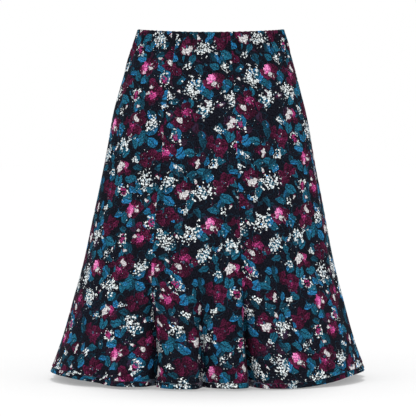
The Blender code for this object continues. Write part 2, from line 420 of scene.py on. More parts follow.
def large_relief(number, across, drop, angle, hem):
    """How far the gathers and the large folds stand out from the plain form."""
    rate = arc_rate(angle, drop)
    top = 1 - ease((drop - CASING_DEPTH) / GATHER_FADE)
    out = GATHER_HEIGHT * top * gather_wave(number, across)
    soft = ease(drop / CASING_DEPTH) * (1 - ease((drop - CASING_DEPTH) / (SOFT_FOLD_END - CASING_DEPTH)))
    out = out + SOFT_FOLD_HEIGHT * soft * soft_fold_wave(number, across)
    for step in (0, 1):
        seam = SEAMS[(number + step) % len(SEAMS)]
        away = (angle - seam_angle(number + step, drop)) * rate
        depth = seam.valley_depth * deepening(drop, seam.valley_start, hem)
        out = out - depth * crease(away, seam.half_width)
        out = out - depth * SHARP_VALLEY_SHARE * crease(away, SHARP_VALLEY_WIDTH)
    left, right = seam_angle(number, drop), seam_angle(number + 1, drop)
    ends = ease(across / FOLD_SEAM_SHARE) * ease((1 - across) / FOLD_SEAM_SHARE)
    for fold in FOLDS[GORES[number].name]:
        away = (across - fold.across) * (right - left) * rate
        depth = fold.height * MM * deepening(drop, fold.start * MM, hem) * ends
        out = out + depth * valley(away, fold.half_width * MM)
        if fold.height < 0:
            out = out + depth * SHARP_VALLEY_SHARE * crease(away, SHARP_VALLEY_WIDTH)
    return out - HEM_GROOVE * valley(hem - HEM_DEPTH - drop, HEM_GROOVE_WIDTH)


def tuck_share(angle):
    """How deep the tuck over the hem's stitching is at each angle, as a share of its deepest."""
    turn = angle - math.radians(TUCK_DEGREES)
    uneven = 0.5 - 0.5 * np.sin(2 * turn) * np.cos(5 * turn) - 0.35 * np.cos(3 * turn + 0.5)
    return TUCK_LEAST_SHARE + (1 - TUCK_LEAST_SHARE) * ease(uneven + 0.25)


def hem_tuck(angle, above_hem):
    """Cloth over the hem's stitching: it overhangs above the line and lies back below it."""
    past = above_hem - HEM_DEPTH
    over = TUCK_OVERHANG * np.exp(-np.maximum(past, 0) / TUCK_OVERHANG_WIDTH)
    under = -TUCK_DEPTH * np.exp(-np.maximum(-past, 0) / TUCK_DEPTH_WIDTH)
    side = ease(past / TUCK_LINE_WIDTH + 0.5)
    return tuck_share(angle) * (side * over + (1 - side) * under)


def hand_creases(number, across, drop, width):
    """Creases of one gore, each strongest at its middle and fading to its ends. Only one that runs
    along a seam, with its like in the next gore, moves the seam."""
    out = np.zeros_like(drop)
    for row in CREASES[GORES[number].name]:
        run_across, run_down = (row.to_across - row.across) * width, (row.to_drop - row.drop) * MM
        from_start, down = (across - row.across) * width, drop - row.drop * MM
        length = np.hypot(run_across, run_down)
        along = (from_start * run_across + down * run_down) / length**2
        beside = (from_start * run_down - down * run_across) / length
        share = along * (1 - 2 * CREASE_RUN_ON) + CREASE_RUN_ON
        ends = np.sin(np.pi * np.clip(share, 0, 1)) ** 1.4
        met = 1 if row.across in (0, 1) else ease(np.minimum(across, 1 - across) * width / CREASE_SEAM_FADE)
        out = out + row.height * MM * ends * met * valley(beside, row.half_width * MM)
    return out


def gather_relief(number, across, below_top):
    """Fine gathers on the casing, and puckers that run down from its stitched groove."""
    gathers = GORES[number].gathers * across
    casing = 1 - ease((below_top - CASING_DEPTH) / CASING_FADE)
    wander = 0.9 * np.sin(2 * np.pi * 2.6 * across + 1.3 * number)
    fine = np.sin(2 * np.pi * FINE_GATHERS_A_GATHER * gathers + wander + 9 * below_top)
    pucker = np.sin(2 * np.pi * PUCKERS_A_GATHER * gathers + 2.2 * np.sin(0.8 * gathers + number))
    uneven = np.sin(1.25 * gathers + 2.1 * number) + 0.4 * np.sin(3.2 * gathers)
    under = np.maximum(below_top - CASING_DEPTH, 0)
    fading = np.exp(-under / (PUCKER_REACH * (1.5 + uneven))) * ease(below_top / PUCKER_TOP)
    out = FINE_GATHER_HEIGHT * casing * fine + PUCKER_HEIGHT * (1 - casing * 0.5) * pucker * fading
    return out - CASING_GROOVE * valley(below_top - CASING_DEPTH, CASING_GROOVE_WIDTH)


def seam_relief(seam, away, drop):
    """A seam's groove, with the cloth drawn uneven along it."""
    ripple = np.sin(2 * np.pi * drop / SEAM_RIPPLE_LENGTH + 1.8 * np.sin(31 * drop + seam))
    fading = np.exp(-away / SEAM_RIPPLE_REACH) * (1 - valley(away, SEAM_STILL_WIDTH))
    return SEAM_RIPPLE * ripple * fading - SEAM_GROOVE * valley(away, SEAM_GROOVE_WIDTH)


def hem_relief(angle, rate, above_hem):
    """Slanting ripples over the hem's stitching, and its tuck."""
    fading = np.exp(-np.maximum(above_hem - HEM_DEPTH, 0) / HEM_RIPPLE_REACH)
    slant = (angle * rate + HEM_RIPPLE_SLANT * above_hem) / HEM_RIPPLE_LENGTH
    uneven = 0.6 + 0.4 * np.sin(HEM_RIPPLE_PATCHES * angle + 1)
    return HEM_RIPPLE * uneven * fading * np.sin(2 * np.pi * slant) + hem_tuck(angle, above_hem)


def slow_waves(angle, drop):
    out = 0
    for wave in SLOW_WAVES:
        turns = round(2 * np.pi * MEAN_RADIUS / wave.round_length)
        out = out + wave.height * np.sin(turns * angle + 2 * np.pi * drop / wave.down_length + wave.start)
    return out * ease((drop - SLOW_WAVES_FROM) / SLOW_WAVES_RISE)


def fine_relief(number, across, drop, angle, top, hem):
    """All of the finer form that lies on the large folds."""
    rate = arc_rate(angle, drop)
    width = (seam_angle(number + 1, drop) - seam_angle(number, drop)) * rate
    out = gather_relief(number, across, drop - top) + hem_relief(angle, rate, hem - drop)
    for step, side in ((0, across), (1, 1 - across)):
        out = out + seam_relief((number + step) % len(SEAMS), side * width, drop)
    return out + slow_waves(angle, drop) + hand_creases(number, across, drop, width)


def skin(number, across, share, step, inset):
    """Points of a gore's outer face, moved inwards by an inset."""
    across, share, step, inset = np.broadcast_arrays(across, share, step, inset)
    middle = seam_angle(number, 0) * (1 - across) + seam_angle(number + 1, 0) * across
    top = top_drop(middle, gather_wave(number, across))
    hem = hem_drop(middle)
    drop = top + share * (hem - top) + step
    left, right = seam_angle(number, drop), seam_angle(number + 1, drop)
    angle = left * (1 - across) + right * across
    half_width, half_depth = form(drop)
    ahead, aside = np.cos(angle) / half_depth, np.sin(angle) / half_width
    out = large_relief(number, across, drop, angle, hem)
    out = out + fine_relief(number, across, drop, angle, top, hem) - inset
    out = out / np.hypot(ahead, aside)
    x = half_width * np.sin(angle) + out * aside + HEM_SWAY * drop / SECTIONS[-1].drop
    y = -half_depth * np.cos(angle) - out * ahead
    return np.stack([x, y, -drop], axis=-1)


def pinched(distance, full):
    """Gap between two layers beside a row of stitches, which hold them close."""
    close = STITCH_PINCH * bpy.context.scene.skirt_cloth.thickness
    return full - (full - close) * valley(distance, STITCH_PINCH_WIDTH)


def sheet_rows():
    """Share, step and inset of every row of a gore's sheet, from its edge inside the casing, up
    over the top, down the outside and round the hem to its edge inside the hem."""
    rows = []
    for step in np.linspace(CASING_EDGE, TOP_TURN, CASING_INSIDE_ROWS):
        rows.append((0, step, pinched(step - CASING_DEPTH, 2 * TOP_TURN)))
    for turn in np.linspace(math.pi, 0, TOP_TURN_ROWS + 2)[1:-1]:
        rows.append((0, TOP_TURN * (1 - math.sin(turn)), TOP_TURN * (1 - math.cos(turn))))
    for step in np.linspace(TOP_TURN, CASING_ROWS_TO, CASING_ROWS):
        rows.append((0, step, 0))
    for share in np.linspace(0, 1, BODY_ROWS)[1:-1]:
        rows.append((share, CASING_ROWS_TO * (1 - share) - HEM_ROWS_FROM * share, 0))
    for step in np.linspace(HEM_ROWS_FROM, HEM_TURN, HEM_ROWS):
        rows.append((1, -step, 0))
    for turn in np.linspace(0, math.pi, HEM_TURN_ROWS + 2)[1:-1]:
        rows.append((1, HEM_TURN * (math.sin(turn) - 1), HEM_TURN * (1 - math.cos(turn))))
    for step in np.linspace(HEM_TURN, HEM_EDGE, HEM_INSIDE_ROWS):
        rows.append((1, -step, pinched(step - HEM_DEPTH, 2 * HEM_TURN)))
    return np.array(rows, float)


def walk(points, axis):
    """Distance walked over the points along an axis of the array, from its first ones."""
    steps = np.linalg.norm(np.diff(points, axis=axis), axis=-1)
    start = np.zeros_like(np.take(steps, [0], axis=axis))
    return np.concatenate([start, np.cumsum(steps, axis=axis)], axis=axis)


def print_places(number, points, tucked):
    """Place of each point on the flat printed cloth, measured from the gore's middle line."""
    sideways = walk(points, 1)
    sideways = sideways - sideways[:, [sideways.shape[1] // 2]] + TUCK_PRINT_ACROSS * tucked
    down = walk(points, 0)[:, [points.shape[1] // 2]] + TUCK_PRINT_DOWN * tucked
    gore = GORES[number]
    turn = math.radians(gore.print_turn)
    u = math.cos(turn) * sideways - math.sin(turn) * down + gore.print_across
    v = -math.sin(turn) * sideways - math.cos(turn) * down - gore.print_down
    return np.stack([u, v], axis=-1)


def deselect():
    for other in bpy.context.selected_objects:
        other.select_set(False)


def bent_grid(name, points, places):
    """A flat grid bent to its points, a row of them for each of its rows from the top."""
    rows, columns = points.shape[0] - 1, points.shape[1] - 1
    deselect()
    bpy.ops.mesh.primitive_grid_add(x_subdivisions=columns, y_subdivisions=rows, size=1)
    sheet = bpy.context.object
    sheet.name = name
    mesh = sheet.data
    mesh.name = name
    flat = np.empty(len(mesh.vertices) * 3)
    mesh.vertices.foreach_get("co", flat)
    flat = flat.reshape(-1, 3)
    column = np.rint((flat[:, 0] + 0.5) * columns).astype(int)
    row = np.rint((0.5 - flat[:, 1]) * rows).astype(int)
    mesh.vertices.foreach_set("co", points[row, column].ravel())
    corners = np.empty(len(mesh.loops), int)
    mesh.loops.foreach_get("vertex_index", corners)
    layer = mesh.uv_layers.active
    layer.name = PRINT_MAP
    layer.data.foreach_set("uv", places[row, column][corners].ravel())
    mesh.shade_smooth()
    mesh.update()
    return sheet


def allowance_strip(number, side):
    """One seam allowance of a gore, folded under it. Side is 0 or 1, as the share across is."""
    share = np.linspace(0, 1, ALLOWANCE_ROWS)[:, None]
    inwards = np.linspace(1, 0, ALLOWANCE_COLUMNS + 1)[None, :]
    step = ALLOWANCE_TOP * (1 - share) - ALLOWANCE_END * share
    drop = share * SECTIONS[-1].drop + step
    left, right = seam_angle(number, drop), seam_angle(number + 1, drop)
    width = (right - left) * arc_rate(left if side == 0 else right, drop)
    across = inwards * ALLOWANCE / width
    inset = ALLOWANCE_INSET - SEAM_GROOVE * valley(inwards * ALLOWANCE, ALLOWANCE_GROOVE_WIDTH)
    if side == 1:
        across, inset = 1 - across[:, ::-1], inset[:, ::-1]
    points = skin(number, across, share, step, inset)[:, ::-1]
    return bent_grid("allowance", points, print_places(number, points, 0))


def cut_and_fold(number, face, reverse):
    """One gore: its sheet folded at the top and the hem, with its two seam allowances."""
    even = np.linspace(0, 1, GORES[number].gathers * COLUMNS_A_GATHER + 1)
    across = even - COLUMN_CROWDING * np.sin(2 * np.pi * even)
    rows = sheet_rows()
    share, step, inset = (rows[:, [column]] for column in range(3))
    points = skin(number, across, share, step, inset)
    name = GORES[number].name + "_crepe"
    tucked = np.where((share == 1) & (step > -HEM_DEPTH), 1.0, 0.0)
    gore = bent_grid(name, points, print_places(number, points, tucked))
    strips = [allowance_strip(number, side) for side in (0, 1)]
    deselect()
    for part in strips + [gore]:
        part.select_set(True)
    bpy.context.view_layer.objects.active = gore
    bpy.ops.object.join()
    gore.data.materials.clear()
    gore.data.materials.append(face)
    gore.data.materials.append(reverse)
    wall = gore.modifiers.new("wall", "SOLIDIFY")
    wall.thickness = bpy.context.scene.skirt_cloth.thickness
    wall.offset = -1
    wall.material_offset = 1
    wall.material_offset_rim = 1
    bpy.ops.object.modifier_apply(modifier=wall.name)
    bpy.ops.object.shade_smooth_by_angle(angle=math.radians(SMOOTH_DEGREES))
    return gore


# ---------------------------------------------------------------- shader nodes

# The nodes of a tree are laid out in rows.
NODES_A_ROW = 24
NODE_WIDTH, NODE_HEIGHT = 170, 240


def by_node(operation, reverse=False):
    """A method of Number that adds a math node."""

    def method(self, other):
        first, second = (other, self) if reverse else (self, other)
        return self.net.math(operation, first, second)

    return method


class Output:
    """An output of a node."""

    def __init__(self, net, socket):
        self.net = net
        self.socket = socket


class Number(Output):
    """A number from a node. Each sum or comparison with it adds a node, and a comparison is 0 or 1."""

    __add__ = by_node("ADD")
    __sub__ = by_node("SUBTRACT")
    __rsub__ = by_node("SUBTRACT", reverse=True)
    __mul__ = by_node("MULTIPLY")
    __pow__ = by_node("POWER")
    __lt__ = by_node("LESS_THAN")
    __gt__ = by_node("GREATER_THAN")
    or_less = by_node("MINIMUM")
    or_more = by_node("MAXIMUM")

    def __abs__(self):
        return self.net.math("ABSOLUTE", self)

    def sine(self):
        return self.net.math("SINE", self)


class Vector(Output):
    """A place, a colour or three chances from a node. Each sum with it adds a node."""

    def __add__(self, other):
        return self.net.vector("ADD", self, other)

    def __sub__(self, other):
        return self.net.vector("SUBTRACT", self, other)

    def __mul__(self, other):
        if isinstance(other, (tuple, Vector)):
            return self.net.vector("MULTIPLY", self, other)
        return self.net.vector("SCALE", self, scale=other)

    def length(self):
        return self.net.vector("LENGTH", self)

    def split(self):
        node = self.net.node("ShaderNodeSeparateXYZ", {0: self})
        return [Number(self.net, output) for output in node.outputs]

    def turned(self, angle):
        values = {"Vector": self, "Angle": angle}
        node = self.net.node("ShaderNodeVectorRotate", values, rotation_type="Z_AXIS")
        return Vector(self.net, node.outputs[0])


class Net:
    """The nodes of one tree."""

    def __init__(self, tree):
        self.tree = tree

    def feed(self, node, inputs):
        """Sets inputs of a node to values, or links them to outputs of other nodes."""
        for name, value in inputs.items():
            if isinstance(value, Output):
                value = value.socket
            if isinstance(value, bpy.types.NodeSocket):
                self.tree.links.new(value, node.inputs[name])
            elif value is not None:
                node.inputs[name].default_value = value

    def node(self, kind, inputs, **settings):
        node = self.tree.nodes.new(kind)
        row, column = divmod(len(self.tree.nodes), NODES_A_ROW)
        node.location = (column * NODE_WIDTH, -row * NODE_HEIGHT)
        for name, value in settings.items():
            setattr(node, name, value)
        self.feed(node, inputs)
        return node

    def math(self, operation, first, second=None):
        node = self.node("ShaderNodeMath", {0: first, 1: second}, operation=operation)
        return Number(self, node.outputs[0])

    def vector(self, operation, first, second=None, third=None, scale=None):
        values = {0: first, 1: second, 2: third}
        if scale is not None:
            values["Scale"] = scale
        outputs = self.node("ShaderNodeVectorMath", values, operation=operation).outputs
        if operation in ("LENGTH", "DOT_PRODUCT"):
            return Number(self, outputs["Value"])
        return Vector(self, outputs["Vector"])

    def colour(self, share, first, second):
        """The first colour with a share of the second laid over it."""
        node = self.node("ShaderNodeMix", {0: share, 6: first, 7: second}, data_type="RGBA")
        return Vector(self, node.outputs[2])

    def pick(self, share, first, second):
        """The first vector where the share is 0, and the second where it is 1."""
        node = self.node("ShaderNodeMix", {0: share, 4: first, 5: second}, data_type="VECTOR")
        return Vector(self, node.outputs[1])

    def joined(self, x, y):
        return Vector(self, self.node("ShaderNodeCombineXYZ", {0: x, 1: y}).outputs[0])

    def noise(self, place, length, detail=0.0):
        """A number and a vector that wander from 0 to 1 over about a length."""
        values = {"Vector": place, "Scale": 1 / length, "Detail": detail}
        outputs = self.node("ShaderNodeTexNoise", values, noise_dimensions="2D").outputs
        return Number(self, outputs["Fac"]), Vector(self, outputs["Color"])

    def scatter(self, feature, place, length, randomness):
        values = {"Vector": place, "Scale": 1 / length, "Randomness": randomness}
        settings = {"voronoi_dimensions": "2D", "feature": feature}
        return self.node("ShaderNodeTexVoronoi", values, **settings).outputs

    def cells(self, place, length, randomness=1.0):
        """Distance from the nearest of scattered points, its place and three chances of its own."""
        found = self.scatter("F1", place, length, randomness)
        middle, chances = Vector(self, found["Position"]), Vector(self, found["Color"])
        return Number(self, found["Distance"]), middle, chances

    def cell_edges(self, place, length, randomness):
        """Distance from the edges between the cells."""
        return Number(self, self.scatter("DISTANCE_TO_EDGE", place, length, randomness)["Distance"])

    def chances(self, vector):
        """Three chances that belong to a vector."""
        node = self.node("ShaderNodeTexWhiteNoise", {"Vector": vector}, noise_dimensions="3D")
        return Vector(self, node.outputs["Color"])

    def steps(self, value, *stops):
        """The colour of the last (place, colour) stop that the value has passed."""
        node = self.node("ShaderNodeValToRGB", {0: value})
        ramp = node.color_ramp
        ramp.interpolation = "CONSTANT"
        while len(ramp.elements) < len(stops):
            ramp.elements.new(1.0)
        for element, (place, colour) in zip(ramp.elements, stops):
            element.position = place
            element.color = colour
        return Vector(self, node.outputs[0])


def new_group(name, outputs):
    """An empty node group that is given a place: its tree, net, place and end."""
    tree = bpy.data.node_groups.new(name, "ShaderNodeTree")
    tree.interface.new_socket(name="Place", in_out="INPUT", socket_type="NodeSocketVector")
    for socket, kind in outputs.items():
        tree.interface.new_socket(name=socket, in_out="OUTPUT", socket_type=kind)
    net = Net(tree)
    start, end = net.node("NodeGroupInput", {}), net.node("NodeGroupOutput", {})
    return tree, net, Vector(net, start.outputs["Place"]), end


def new_material(name):
    """A material, its net and its shader."""
    material = bpy.data.materials.new(name)
    material.use_nodes = True
    return material, Net(material.node_tree), material.node_tree.nodes["Principled BSDF"]


# ---------------------------------------------------------------- the print

# How much larger than drawn the print is. The rest is as drawn, in millimetres: the repeat, each
# one to the right starting lower by the stagger.
PRINT_SCALE = 1.17
REPEAT_WIDTH = 150.0
REPEAT_HEIGHT = 218.0
STAGGER = 68.0

# Drawn edges wobble: over what length, and how far. Patches of the print differ in how full it is.
PRINT_WOBBLES = ((9.0, 2.8), (2.6, 1.0))
PATCH_LENGTH = 26.0

# Lengths in the print's finer parts.
TWIG_LENGTH = 31.0
LOOSE_LEAF_SPACING = 19.0
LOOSE_LEAF_HALF_LENGTH = 9.0
SPECK_SPACING = 4.4
SPRAY_FLOWER_SPACING = 3.1
SPRAY_EDGE_LENGTH = 8.0
PETAL_EDGE_LENGTH = 2.2

# Flowers: place and radius in millimetres, turn in radians, then how pink and how white they are.
Flower = namedtuple("Flower", "x y size turn pink white")
FLOWERS = table(
    Flower,
    (24, 22, 18.5, 0.4, 0.05, 0.00), (78, 16, 16.5, 2.1, 1.00, 0.50),
    (124, 44, 22.0, 4.0, 0.72, 0.25), (50, 66, 18.5, 5.2, 0.34, 1.00),
    (98, 100, 18.0, 1.2, 0.00, 0.00), (16, 118, 16.5, 3.3, 1.00, 0.60),
    (64, 142, 22.0, 0.9, 0.62, 0.35), (122, 150, 17.5, 2.7, 0.25, 0.90),
    (34, 188, 18.5, 4.6, 0.00, 0.00), (92, 196, 20.5, 5.9, 0.80, 0.35),
    (140, 200, 14.0, 1.9, 0.40, 0.60),
)

# Inside a flower, where 1 is its size: from petal to petal, how loosely they lie, and the places of
# its pink heart and of its pale petals.
PETAL_SPACING = 0.54
PETAL_LOOSENESS = 0.95
HEART = (0.2, -0.15, 0.0)
CREST = (-0.08, 0.34, 0.0)

# Leaves stand round every flower: bearing from its turn, distance in its sizes, half length in mm.
FlowerLeaf = namedtuple("FlowerLeaf", "bearing distance half_length slant")
FLOWER_LEAVES = table(
    FlowerLeaf,
    (0.3, 1.32, 12.0, 0.9),
    (2.5, 1.30, 10.0, -0.8),
    (4.5, 1.30, 8.5, 1.3),
)

# Leaves away from the flowers: place, half length, turn.
Leaf = namedtuple("Leaf", "x y size turn")
LEAVES = table(
    Leaf,
    (74, 42, 10.0, 0.5), (82, 50, 9.0, 1.9), (70, 56, 8.5, 2.9), (148, 58, 9.5, 2.2),
    (4, 94, 10.0, 0.3), (72, 112, 9.5, 1.2), (80, 120, 11.0, 5.4), (92, 126, 9.0, 0.2),
    (84, 132, 8.5, 3.8), (146, 126, 10.5, 1.0), (30, 156, 10.0, 5.0), (8, 192, 9.5, 2.4),
    (112, 172, 9.0, 0.9), (60, 212, 10.5, 4.2), (104, 22, 9.5, 2.7), (0, 26, 9.0, 1.5),
)

# Sprays of small white flowers: place, radius, turn, how much of the middle is magenta.
Spray = namedtuple("Spray", "x y size turn magenta")
SPRAYS = table(
    Spray,
    (48, 104, 16.5, 0.2, 0.0), (136, 92, 17.5, 1.4, 0.0), (6, 70, 15.5, 2.2, 0.0),
    (94, 64, 16.5, 4.1, 0.0), (2, 160, 16.0, 3.0, 0.0), (54, 32, 12.5, 0.7, 1.0),
    (62, 182, 12.5, 5.1, 1.0), (98, 152, 13.5, 2.6, 0.0), (110, 6, 12.0, 1.1, 1.0),
    (116, 182, 7.5, 3.7, 0.0), (74, 88, 7.0, 0.5, 0.0), (34, 146, 7.5, 4.4, 0.0),
    (126, 122, 7.0, 2.0, 0.0), (18, 208, 8.0, 5.6, 0.0), (26, 48, 7.0, 3.1, 0.0),
)

# Single petals and buds, pale with a wine root: place, half length, turn.
Petal = namedtuple("Petal", "x y size turn")
PETALS = table(
    Petal,
    (100, 36, 5.5, 0.6), (28, 86, 4.5, 2.4), (114, 78, 5.0, 4.0), (142, 172, 5.5, 1.4),
    (44, 158, 4.5, 5.2), (70, 168, 5.0, 3.2),
)

# Farther off than any motif, in its sizes.
FAR = 99.0


def nearest(net, repeat, rows, facts):
    """Place inside the nearest motif of a repeat, where 1 is its size, and the motif's facts."""
    best, spot, told = FAR, (0.0, 0.0, 0.0), (0.0, 0.0, 0.0)
    half = (REPEAT_WIDTH / 2, REPEAT_HEIGHT / 2, 1.0)
    for row in rows:
        centre = (row.x, row.y, 0.0)
        highest = tuple(c + h for c, h in zip(centre, half))
        lowest = tuple(c - h for c, h in zip(centre, half))
        wrapped = net.vector("WRAP", repeat, highest, lowest)
        shift = (-row.x / row.size, -row.y / row.size, 0.0)
        offset = net.vector("MULTIPLY_ADD", wrapped, (1 / row.size,) * 3, shift)
        away = offset.length()
        closer = away < best
        spot = net.pick(closer, spot, offset)
        told = net.pick(closer, told, facts(row))
        best = away.or_less(best)
    return spot, told


def upright(net, spot, turn):
    """Undoes the repeat's stagger in a motif's own place, and turns it."""
    x, y, _ = spot.split()
    return net.joined(x, y - x * (STAGGER / REPEAT_WIDTH)).turned(turn)


def leaf(net, spot, vary, hues):
    """A pointed leaf along X in a thin dark outline: colour and mask. Vary is three chances."""
    x, y, _ = spot.split()
    chance, second, third = vary.split()
    bend = second * 0.5 - 0.25
    half_width = third * 0.26 + (x * -0.18 + 0.44)
    taper = (1.0 - abs(x) ** 2.3).or_more(0.0)
    beside = x * x * bend + y
    beam = abs(beside)
    inset = taper * half_width - beam

    # The blade in two tones, with brush marks.
    body = net.steps(
        chance, (0.0, hues.deep_teal), (0.26, hues.teal), (0.66, hues.mid_teal), (0.86, hues.blue)
    )
    light = net.steps(
        third, (0.0, hues.teal), (0.46, hues.mid_teal), (0.74, hues.blue), (0.87, hues.sky)
    )
    upper = x * 0.3 + beside > 0.0
    colour = net.colour(upper * 0.6, body, light)
    brush = net.noise(net.joined(x * 0.35 + chance, beside), 0.13, 1.0)[0]
    colour = net.colour((brush < 0.45) * 0.7, colour, hues.deep_teal)

    # Vein, ribs and dark rim.
    vein = beam < x * -0.03 + 0.045
    ribs = (x * 15.0 + beam * -14.0).sine() > 0.9
    rim = inset < 0.055
    line = (vein.or_more(ribs * 0.45) * 0.75).or_more(rim)
    return net.colour(line, colour, hues.ground), inset > 0.0


def bloom(net, spot, seed, pink, white, hues):
    """A flower of a few round petals in a loose heap: colour and mask."""
    # Round petals, each nearest to a middle of its own.
    away = spot.length()
    moved = spot + seed
    ragged, bent = net.noise(moved, 0.42, 1.0)
    bent = (bent - (0.5, 0.5, 0.5)) * (0.34, 0.34, 0.0) + moved
    from_middle, middle, chances = net.cells(bent, PETAL_SPACING, PETAL_LOOSENESS)
    foot = middle - seed
    rounded = ragged * 0.5 + from_middle < 0.92
    mask = ((foot.length() < 0.84) * rounded).or_more(away < 0.45)

    # Three wine tones in brush strokes, with dark gaps between the petals.
    tone, other, third = chances.split()
    lit = net.vector("DOT_PRODUCT", bent - middle, (0.5, 0.9, 0.0))
    strokes = net.noise(moved * (1.0, 2.4, 0.0), 0.15, 1.5)[0]
    shade = strokes * 1.3 + (tone * 0.66 + lit) - 0.46
    body = net.steps(shade, (0.0, hues.deep_wine), (0.44, hues.wine), (0.84, hues.plum))
    edge = net.cell_edges(bent, PETAL_SPACING, PETAL_LOOSENESS)
    scratch = net.noise(moved * (2.6, 1.0, 0.0), 0.21, 1.0)[0]
    gap = (edge < other * 0.10 - 0.02).or_more(scratch < 0.36)
    body = net.colour(gap * 0.85, body, hues.ground)

    # The pink heart, and a thin pale rim round the pinkest.
    from_heart = (spot - HEART).length() * 0.35 + (foot - HEART).length() * 0.75
    brush = pink * -0.52 + (strokes * 0.62 + from_heart)
    x, y, _ = spot.split()
    body = net.colour(brush < 0.31, body, hues.magenta)
    body = net.colour(brush < 0.17, body, hues.pink)
    body = net.colour(x * -0.22 + brush < 0.005, body, hues.pale_pink)
    rim = (abs(brush - 0.22) < 0.05) * (y * 0.5 + x > 0.46) * (pink > 0.7)
    body = net.colour(rim, body, hues.petal)

    # Large pale petals with grey veins.
    crest = ((spot - CREST) * (0.72, 1.4, 0.0)).length()
    reach = strokes * 0.3 + (ragged * 1.1 + crest)
    pale = (reach < white * 0.36 + 0.72) * (white > 0.1)
    veins = (x * 9.0 + y * 24.0).sine() > 0.86
    body = net.colour(pale, body, net.colour(veins * 0.6, hues.petal, hues.vein))

    dot = away < third * 0.05 + 0.07
    return net.colour(dot * 0.8, body, hues.heart), mask


def ground(net, place, patch, hues):
    """Near black in two tones, crossed by fine twigs."""
    colour = net.colour(patch, hues.ground, hues.night)
    twig = abs(net.noise(place, TWIG_LENGTH, 1.0)[0] - 0.5) < 0.008
    return net.colour(twig * 0.55, colour, hues.deep_teal)


def loose_leaves(net, place, patch, hues):
    """Leaves scattered under the placed motifs, thicker in some patches, and some of them wine:
    colour and mask, as all below."""
    _, middle, chances = net.cells(place, LOOSE_LEAF_SPACING, 0.8)
    chance, other, third = chances.split()
    spot = ((place - middle) * (1 / LOOSE_LEAF_HALF_LENGTH)).turned(other * (2 * math.pi))
    hue, mask = leaf(net, spot, net.chances(chances), hues)
    hue = net.colour((third > 0.66) * 0.9, hue, hues.deep_wine)
    return hue, mask * (chance < patch * 2.4 - 0.62)


def leaf_beds():
    """Leaves in beds, in each of which none overlap: those away from the flowers, and one bed for
    each place round a flower."""
    beds = [LEAVES]
    for row in FLOWER_LEAVES:
        bed = []
        for flower in FLOWERS:
            bearing = flower.turn + row.bearing
            reach = flower.size * row.distance
            x, y = reach * math.cos(bearing), reach * math.sin(bearing)
            y += x * STAGGER / REPEAT_WIDTH
            bed.append(Leaf(flower.x + x, flower.y + y, row.half_length, -bearing - row.slant))
        beds.append(bed)
    return beds


def placed_leaves(net, repeat, bed, hues):
    spot, told = nearest(net, repeat, bed, lambda row: (row.turn, row.x, row.y))
    return leaf(net, upright(net, spot, told.split()[0]), net.chances(told), hues)


def flowers(net, repeat, hues):
    spot, told = nearest(net, repeat, FLOWERS, lambda row: (row.turn, row.pink, row.white))
    turn, pink, white = told.split()
    seed = net.joined(turn, turn) * 3.7
    return bloom(net, upright(net, spot, turn), seed, pink, white, hues)


def specks(net, place, patch, hues):
    """Stray dots in several colours."""
    away, _, chances = net.cells(place, SPECK_SPACING)
    chance, bigness, tint = chances.split()
    hue = net.steps(
        tint, (0.0, hues.mid_teal), (0.34, hues.spray_grey), (0.62, hues.plum), (0.82, hues.spray)
    )
    return hue, (away < bigness * 0.08 + 0.07) * (chance < patch * 0.8 - 0.24)


def single_petals(net, place, repeat, hues):
    spot, told = nearest(net, repeat, PETALS, lambda row: (row.turn, row.x, row.y))
    x, y, _ = upright(net, spot, told.split()[0]).split()
    away = net.joined(x, abs(y) * (x * -0.9 + 2.2)).length()
    mask = net.noise(place, PETAL_EDGE_LENGTH, 1.0)[0] * 1.1 + away < 1.35
    return net.steps(x, (0.0, hues.petal), (0.36, hues.plum)), mask


def sprays(net, place, repeat, hues):
    """Heaps of small white flowers that thin out to their edge, some with a magenta middle."""
    spot, told = nearest(net, repeat, SPRAYS, lambda row: (row.turn, row.magenta, row.x))
    turn, magenta, _ = told.split()
    away = (upright(net, spot, turn) * (0.85, 1.2, 0.0)).length()
    ragged = net.noise(place, SPRAY_EDGE_LENGTH, 1.0)[0] * 1.7 - 0.85
    crowd = 0.94 - (away + ragged)
    off, _, chances = net.cells(place, SPRAY_FLOWER_SPACING, 0.95)
    chance, bigness, tint = chances.split()
    mask = (off < bigness * 0.24 + 0.30) * (chance < crowd * 2.4)
    white = net.steps(tint, (0.0, hues.spray), (0.80, hues.spray_grey), (0.975, hues.sky))
    return net.colour(magenta * (away < 0.5), white, hues.magenta), mask


def print_group(hues):
    """The floral print. Place is in millimetres on the flat cloth."""
    tree, net, place, end = new_group("floral_print", {"Colour": "NodeSocketColor"})
    place = place * (1 / PRINT_SCALE)
    for length, size in PRINT_WOBBLES:
        wobble = net.noise(place, length)[1] - (0.5, 0.5, 0.5)
        place = wobble * (size, size, 0.0) + place
    x, y, _ = place.split()
    repeat = net.joined(x, x * (STAGGER / REPEAT_WIDTH) + y)
    patch = net.noise(place, PATCH_LENGTH)[0]
    layers = [loose_leaves(net, place, patch, hues)]
    layers += [placed_leaves(net, repeat, bed, hues) for bed in leaf_beds()]
    layers.append(flowers(net, repeat, hues))
    layers.append(specks(net, place, patch, hues))
    layers.append(single_petals(net, place, repeat, hues))
    layers.append(sprays(net, place, repeat, hues))
    colour = ground(net, place, patch, hues)
    for hue, mask in layers:
        colour = net.colour(mask, colour, hue)
    net.feed(end, {"Colour": colour})
    return tree


# ---------------------------------------------------------------- materials


